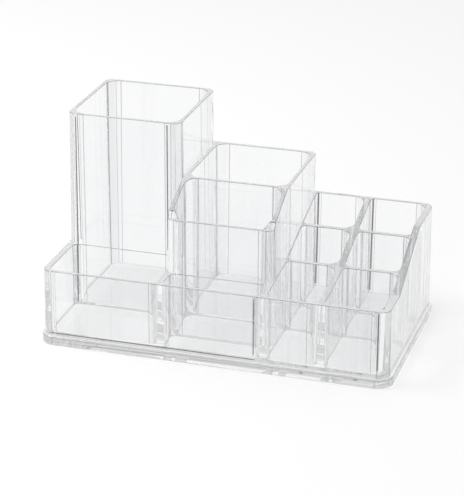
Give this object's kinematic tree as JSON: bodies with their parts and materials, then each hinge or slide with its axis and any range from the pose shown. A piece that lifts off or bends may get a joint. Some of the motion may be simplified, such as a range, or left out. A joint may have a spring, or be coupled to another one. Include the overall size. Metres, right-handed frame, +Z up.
{
  "type": "brush holder",
  "caption": "Clear stepped tabletop organiser with a tall brush tower, open compartments and a grid of small cells.",
  "frame": {"origin": "middle of the base's underside", "axes": "+X to the right along the longer side, +Y to the back, +Z up"},
  "size_m": [0.222, 0.126, 0.134],
  "materials": {
    "clear": "polished clear moulded plastic"
  },
  "bodies": {
    "root": {"base_plate": "clear", "front_wall": "clear", "tray_side_wall": "clear", "tray_divider": "clear", "tower_side_wall": "clear", "tower_front_wall": "clear", "tower_inner_wall": "clear", "tower_back_wall": "clear", "middle_left_wall": "clear", "step_wall": "clear", "middle_divider": "clear", "middle_right_wall": "clear", "middle_back_wall": "clear", "slot_divider": "clear", "cell_spine": "clear", "right_wall": "clear", "cell_back_wall": "clear", "cell_front_wall_left": "clear", "cell_front_wall_right": "clear", "cell_rear_wall_left": "clear", "cell_rear_wall_right": "clear"}
  },
  "joints": []
}
